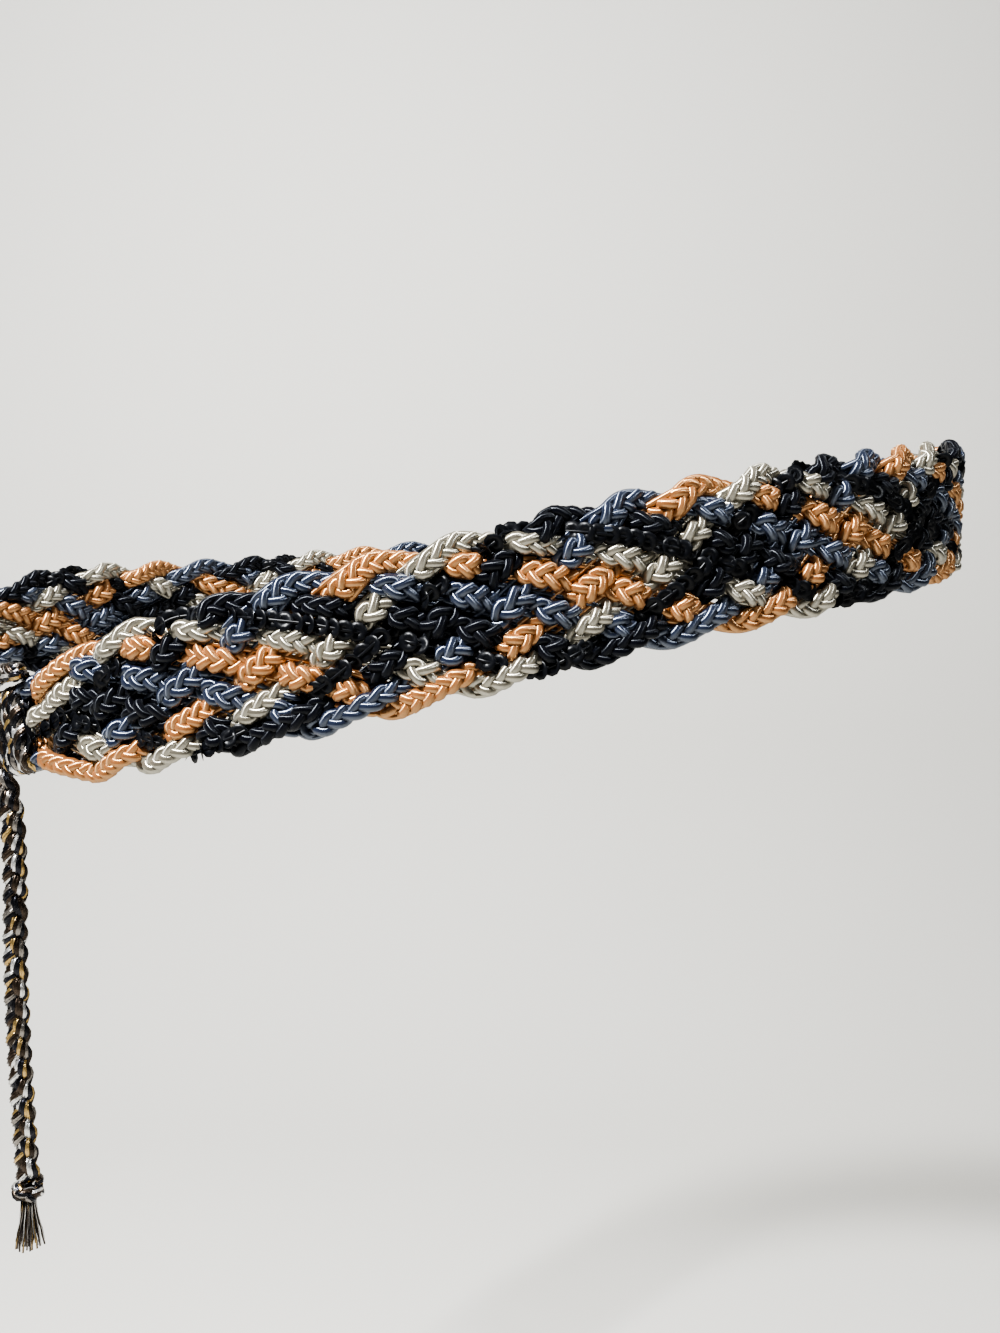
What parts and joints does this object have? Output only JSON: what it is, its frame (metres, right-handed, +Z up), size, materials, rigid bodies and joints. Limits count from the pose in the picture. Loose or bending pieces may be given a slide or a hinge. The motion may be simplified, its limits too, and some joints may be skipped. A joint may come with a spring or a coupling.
{
  "type": "woven belt",
  "caption": "Soft hip belt: a wide flat plait of small cord braids with sequin strings through it, worn as a tilted loop and tied at one side with hanging braided ties.",
  "frame": {"origin": "middle of the hips that the belt goes round, at the height of the middle of its front", "axes": "+X to the side where the belt rides highest, away from the tie; -Y to the front that shows; +Z up"},
  "size_m": [0.4454, 0.2574, 0.3393],
  "materials": {
    "ivory_cord": "satin cord, glossy rayon threads with soft highlights",
    "peach_cord": "satin cord, glossy rayon threads with soft highlights",
    "navy_cord": "satin cord, glossy rayon threads with pale blue highlights",
    "black_cord": "satin cord, glossy rayon threads with thin grey highlights",
    "black_sequin": "thin glossy cupped discs",
    "metallic_braid": "braid of silver, gold, grey and black metallic yarn"
  },
  "bodies": {
    "root": {"strand_ivory_1": "ivory_cord", "strand_ivory_2": "ivory_cord", "strand_peach_1": "peach_cord", "strand_peach_2": "peach_cord", "strand_navy_1": "navy_cord", "strand_navy_2": "navy_cord", "strand_black_1": "black_cord", "strand_black_2": "black_cord", "sequin_strand_1": "black_sequin", "sequin_strand_2": "black_sequin", "binding_front": "metallic_braid", "binding_back": "metallic_braid", "tie_front_lead": "metallic_braid", "tie_back_lead": "metallic_braid", "tie_knot": "metallic_braid", "tie_front_tail": "metallic_braid", "tie_back_tail": "metallic_braid", "tail_end_front": "metallic_braid", "tail_end_back": "metallic_braid"}
  },
  "joints": []
}
